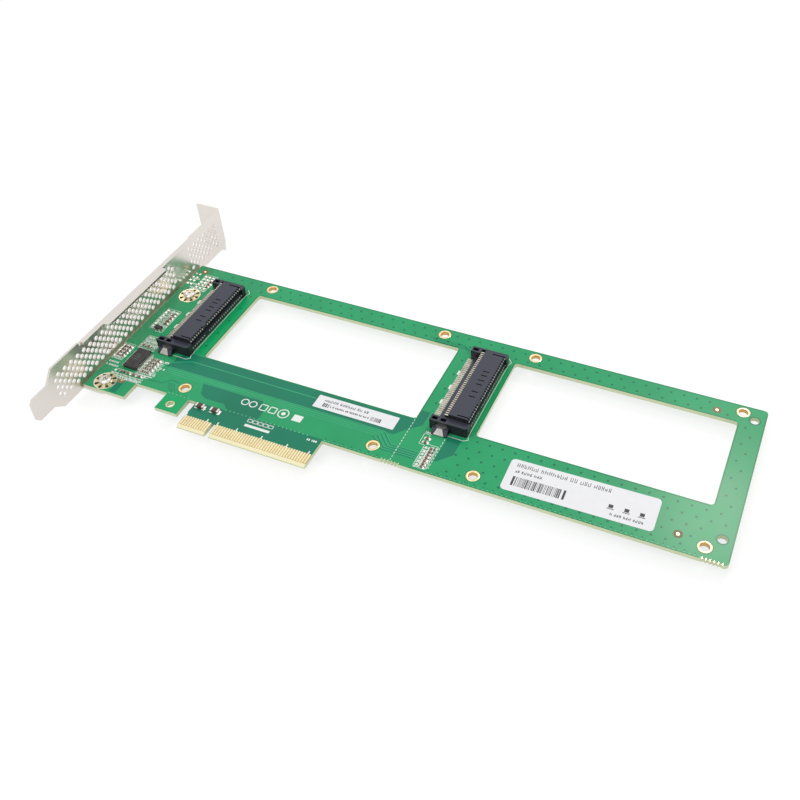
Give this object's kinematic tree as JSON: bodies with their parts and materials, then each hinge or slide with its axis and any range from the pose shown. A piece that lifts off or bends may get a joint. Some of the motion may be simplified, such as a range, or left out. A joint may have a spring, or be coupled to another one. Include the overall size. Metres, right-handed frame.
{
  "type": "nvme adapter card",
  "caption": "Long expansion card with a perforated steel bracket, edge contacts and upright drive receptacles that each face a rectangular window in the green board.",
  "frame": {"origin": "under the middle of the card's bounding box, at the level of the bracket's ear", "axes": "+X along the card from the bracket to the far end, +Y from the edge contacts to the top edge, +Z from the solder side to the component side"},
  "size_m": [0.2468, 0.12, 0.0216],
  "materials": {
    "board": "glossy",
    "steel": "satin",
    "gold": "polished",
    "moulding": "matte",
    "epoxy": "matte",
    "tin": "satin",
    "ceramic_body": "matte",
    "capacitor_body": "matte",
    "label": "matte"
  },
  "bodies": {
    "root": {"circuit_board": "board", "bracket": "steel", "bracket_screws": "steel", "screw_lands": "gold", "fiducials": "gold", "edge_contacts_component_side": "gold", "edge_contacts_solder_side": "gold", "drive_1_hole_rings": "gold", "drive_2_hole_rings": "gold", "receptacle_1_housing": "moulding", "receptacle_1_contacts": "gold", "receptacle_1_tails": "tin", "receptacle_1_clips": "tin", "receptacle_2_housing": "moulding", "receptacle_2_contacts": "gold", "receptacle_2_tails": "tin", "receptacle_2_clips": "tin", "buffer_chip_body": "epoxy", "buffer_chip_leads": "tin", "regulator_body": "epoxy", "regulator_leads": "tin", "small_parts": "ceramic_body", "edge_capacitor_bodies": "capacitor_body", "edge_capacitor_caps": "tin", "product_label": "label", "serial_label": "label"}
  },
  "joints": []
}
